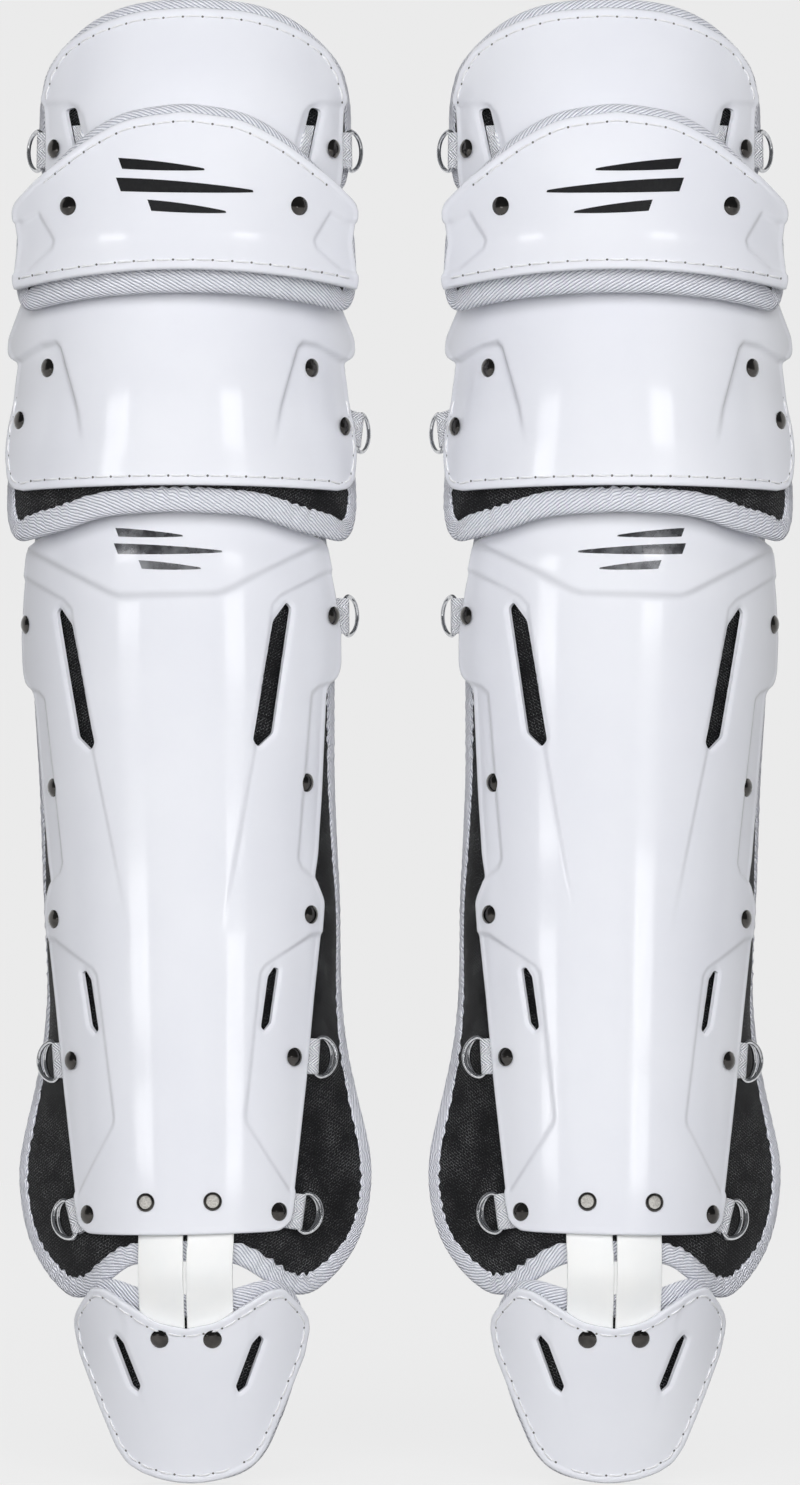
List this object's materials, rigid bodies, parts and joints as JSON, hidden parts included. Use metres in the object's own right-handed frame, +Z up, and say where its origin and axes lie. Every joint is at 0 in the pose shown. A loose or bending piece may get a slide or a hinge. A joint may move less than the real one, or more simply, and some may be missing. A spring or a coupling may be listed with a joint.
{
  "type": "catcher's leg guards",
  "caption": "Mirrored pair of hard-shell leg guards: jointed thigh, knee, lower-knee, shin and toe shells over sewn foam pads, with strap rings down the sides.",
  "frame": {"origin": "middle of the bottom of the pair, under the lowest point of the toe flaps", "axes": "+Z up as worn, -Y towards the front of the guards, +X towards the wearer's left leg, which is the viewer's right seen from the front; nodes named right_ are on +X and left_ on -X, as a viewer in front sees them"},
  "size_m": [0.3426, 0.1209, 0.6375],
  "materials": {
    "moulded_shell": "gloss",
    "sewn_pad": "matte",
    "webbing": "matte",
    "toe_strap": "satin",
    "ring_metal": "polished"
  },
  "bodies": {
    "left_shin": {"left_shin_shell": "moulded_shell", "left_shin_pad": "sewn_pad", "left_toe_strap_inner": "toe_strap", "left_toe_strap_outer": "toe_strap", "left_tab_upper_shin_inner": "webbing", "left_tab_lower_shin_inner": "webbing", "left_tab_lower_shin_outer": "webbing", "left_tab_ankle_inner": "webbing", "left_tab_ankle_outer": "webbing"},
    "left_lower_knee": {"left_lower_knee_shell": "moulded_shell", "left_lower_knee_pad": "sewn_pad", "left_tab_lower_knee_inner": "webbing"},
    "left_knee": {"left_knee_shell": "moulded_shell", "left_knee_pad": "sewn_pad"},
    "left_thigh": {"left_thigh_shell": "moulded_shell", "left_thigh_pad": "sewn_pad", "left_thigh_link_inner": "webbing", "left_thigh_link_outer": "webbing", "left_tab_thigh_inner": "webbing", "left_tab_thigh_outer": "webbing"},
    "left_toe": {"left_toe_shell": "moulded_shell", "left_toe_pad": "sewn_pad"},
    "left_ring_thigh_inner": {"left_ring_thigh_inner": "ring_metal"},
    "left_ring_thigh_outer": {"left_ring_thigh_outer": "ring_metal"},
    "left_ring_lower_knee_inner": {"left_ring_lower_knee_inner": "ring_metal"},
    "left_ring_upper_shin_inner": {"left_ring_upper_shin_inner": "ring_metal"},
    "left_ring_lower_shin_inner": {"left_ring_lower_shin_inner": "ring_metal"},
    "left_ring_lower_shin_outer": {"left_ring_lower_shin_outer": "ring_metal"},
    "left_ring_ankle_inner": {"left_ring_ankle_inner": "ring_metal"},
    "left_ring_ankle_outer": {"left_ring_ankle_outer": "ring_metal"},
    "right_shin": {"right_shin_shell": "moulded_shell", "right_shin_pad": "sewn_pad", "right_toe_strap_inner": "toe_strap", "right_toe_strap_outer": "toe_strap", "right_tab_upper_shin_inner": "webbing", "right_tab_lower_shin_inner": "webbing", "right_tab_lower_shin_outer": "webbing", "right_tab_ankle_inner": "webbing", "right_tab_ankle_outer": "webbing"},
    "right_lower_knee": {"right_lower_knee_shell": "moulded_shell", "right_lower_knee_pad": "sewn_pad", "right_tab_lower_knee_inner": "webbing"},
    "right_knee": {"right_knee_shell": "moulded_shell", "right_knee_pad": "sewn_pad"},
    "right_thigh": {"right_thigh_shell": "moulded_shell", "right_thigh_pad": "sewn_pad", "right_thigh_link_inner": "webbing", "right_thigh_link_outer": "webbing", "right_tab_thigh_inner": "webbing", "right_tab_thigh_outer": "webbing"},
    "right_toe": {"right_toe_shell": "moulded_shell", "right_toe_pad": "sewn_pad"},
    "right_ring_thigh_inner": {"right_ring_thigh_inner": "ring_metal"},
    "right_ring_thigh_outer": {"right_ring_thigh_outer": "ring_metal"},
    "right_ring_lower_knee_inner": {"right_ring_lower_knee_inner": "ring_metal"},
    "right_ring_upper_shin_inner": {"right_ring_upper_shin_inner": "ring_metal"},
    "right_ring_lower_shin_inner": {"right_ring_lower_shin_inner": "ring_metal"},
    "right_ring_lower_shin_outer": {"right_ring_lower_shin_outer": "ring_metal"},
    "right_ring_ankle_inner": {"right_ring_ankle_inner": "ring_metal"},
    "right_ring_ankle_outer": {"right_ring_ankle_outer": "ring_metal"}
  },
  "joints": [
    {"name": "left_lower_knee_flex", "type": "hinge", "parent": "left_shin", "child": "left_lower_knee", "pos_m": [-0.091, 0.0073, 0.44], "axis": [-1, 0, 0], "range_deg": [0, 30]},
    {"name": "left_knee_flex", "type": "hinge", "parent": "left_lower_knee", "child": "left_knee", "pos_m": [-0.091, 0.0063, 0.515], "axis": [-1, 0, 0], "range_deg": [0, 30]},
    {"name": "left_thigh_flex", "type": "hinge", "parent": "left_knee", "child": "left_thigh", "pos_m": [-0.091, -0.0027, 0.56], "axis": [-1, 0, 0], "range_deg": [0, 30]},
    {"name": "left_toe_lift", "type": "hinge", "parent": "left_shin", "child": "left_toe", "pos_m": [-0.091, -0.0242, 0.098], "axis": [-1, 0, 0], "range_deg": [-3, 60], "deforming": ["left_toe_strap_inner", "left_toe_strap_outer"]},
    {"name": "left_ring_thigh_inner_swing", "type": "hinge", "parent": "left_thigh", "child": "left_ring_thigh_inner", "pos_m": [-0.02292, -0.00147, 0.57403], "axis": [0.0135, -0.0106, -0.9999], "range_deg": [-12, 75]},
    {"name": "left_ring_thigh_outer_swing", "type": "hinge", "parent": "left_thigh", "child": "left_ring_thigh_outer", "pos_m": [-0.15408, -0.00147, 0.57403], "axis": [0.0135, 0.0106, 0.9999], "range_deg": [-12, 75]},
    {"name": "left_ring_lower_knee_inner_swing", "type": "hinge", "parent": "left_lower_knee", "child": "left_ring_lower_knee_inner", "pos_m": [-0.01843, 0.01432, 0.45421], "axis": [-0.0959, -0.2863, -0.9533], "range_deg": [-12, 75]},
    {"name": "left_ring_upper_shin_inner_swing", "type": "hinge", "parent": "left_shin", "child": "left_ring_upper_shin_inner", "pos_m": [-0.02431, 0.02882, 0.3743], "axis": [0.0084, 0.0081, -0.9999], "range_deg": [-12, 75]},
    {"name": "left_ring_lower_shin_inner_swing", "type": "hinge", "parent": "left_shin", "child": "left_ring_lower_shin_inner", "pos_m": [-0.03708, 0.01219, 0.18351], "axis": [-0.0594, -0.0759, -0.9953], "range_deg": [-12, 75]},
    {"name": "left_ring_lower_shin_outer_swing", "type": "hinge", "parent": "left_shin", "child": "left_ring_lower_shin_outer", "pos_m": [-0.14824, 0.02231, 0.18128], "axis": [-0.0843, 0.089, 0.9925], "range_deg": [-12, 75]},
    {"name": "left_ring_ankle_inner_swing", "type": "hinge", "parent": "left_shin", "child": "left_ring_ankle_inner", "pos_m": [-0.04356, 0.00207, 0.11698], "axis": [-0.1271, -0.1356, -0.9826], "range_deg": [-12, 75]},
    {"name": "left_ring_ankle_outer_swing", "type": "hinge", "parent": "left_shin", "child": "left_ring_ankle_outer", "pos_m": [-0.14091, 0.01078, 0.1143], "axis": [-0.2441, 0.2715, 0.931], "range_deg": [-12, 75]},
    {"name": "right_lower_knee_flex", "type": "hinge", "parent": "right_shin", "child": "right_lower_knee", "pos_m": [0.091, 0.0073, 0.44], "axis": [-1, 0, 0], "range_deg": [0, 30]},
    {"name": "right_knee_flex", "type": "hinge", "parent": "right_lower_knee", "child": "right_knee", "pos_m": [0.091, 0.0063, 0.515], "axis": [-1, 0, 0], "range_deg": [0, 30]},
    {"name": "right_thigh_flex", "type": "hinge", "parent": "right_knee", "child": "right_thigh", "pos_m": [0.091, -0.0027, 0.56], "axis": [-1, 0, 0], "range_deg": [0, 30]},
    {"name": "right_toe_lift", "type": "hinge", "parent": "right_shin", "child": "right_toe", "pos_m": [0.091, -0.0242, 0.098], "axis": [-1, 0, 0], "range_deg": [-3, 60], "deforming": ["right_toe_strap_inner", "right_toe_strap_outer"]},
    {"name": "right_ring_thigh_inner_swing", "type": "hinge", "parent": "right_thigh", "child": "right_ring_thigh_inner", "pos_m": [0.02292, -0.00147, 0.57403], "axis": [0.0135, 0.0106, 0.9999], "range_deg": [-12, 75]},
    {"name": "right_ring_thigh_outer_swing", "type": "hinge", "parent": "right_thigh", "child": "right_ring_thigh_outer", "pos_m": [0.15408, -0.00147, 0.57403], "axis": [0.0135, -0.0106, -0.9999], "range_deg": [-12, 75]},
    {"name": "right_ring_lower_knee_inner_swing", "type": "hinge", "parent": "right_lower_knee", "child": "right_ring_lower_knee_inner", "pos_m": [0.01843, 0.01432, 0.45421], "axis": [-0.0959, 0.2863, 0.9533], "range_deg": [-12, 75]},
    {"name": "right_ring_upper_shin_inner_swing", "type": "hinge", "parent": "right_shin", "child": "right_ring_upper_shin_inner", "pos_m": [0.02431, 0.02882, 0.3743], "axis": [0.0084, -0.0081, 0.9999], "range_deg": [-12, 75]},
    {"name": "right_ring_lower_shin_inner_swing", "type": "hinge", "parent": "right_shin", "child": "right_ring_lower_shin_inner", "pos_m": [0.03708, 0.01219, 0.18351], "axis": [-0.0594, 0.0759, 0.9953], "range_deg": [-12, 75]},
    {"name": "right_ring_lower_shin_outer_swing", "type": "hinge", "parent": "right_shin", "child": "right_ring_lower_shin_outer", "pos_m": [0.14824, 0.02231, 0.18128], "axis": [-0.0843, -0.089, -0.9925], "range_deg": [-12, 75]},
    {"name": "right_ring_ankle_inner_swing", "type": "hinge", "parent": "right_shin", "child": "right_ring_ankle_inner", "pos_m": [0.04356, 0.00207, 0.11698], "axis": [-0.1271, 0.1356, 0.9826], "range_deg": [-12, 75]},
    {"name": "right_ring_ankle_outer_swing", "type": "hinge", "parent": "right_shin", "child": "right_ring_ankle_outer", "pos_m": [0.14091, 0.01078, 0.1143], "axis": [-0.2441, -0.2715, -0.931], "range_deg": [-12, 75]},
    {"name": "guard_spacing", "type": "slide", "parent": "left_shin", "child": "right_shin", "axis": [1, 0, 0], "range_m": [0, 0.15]}
  ]
}
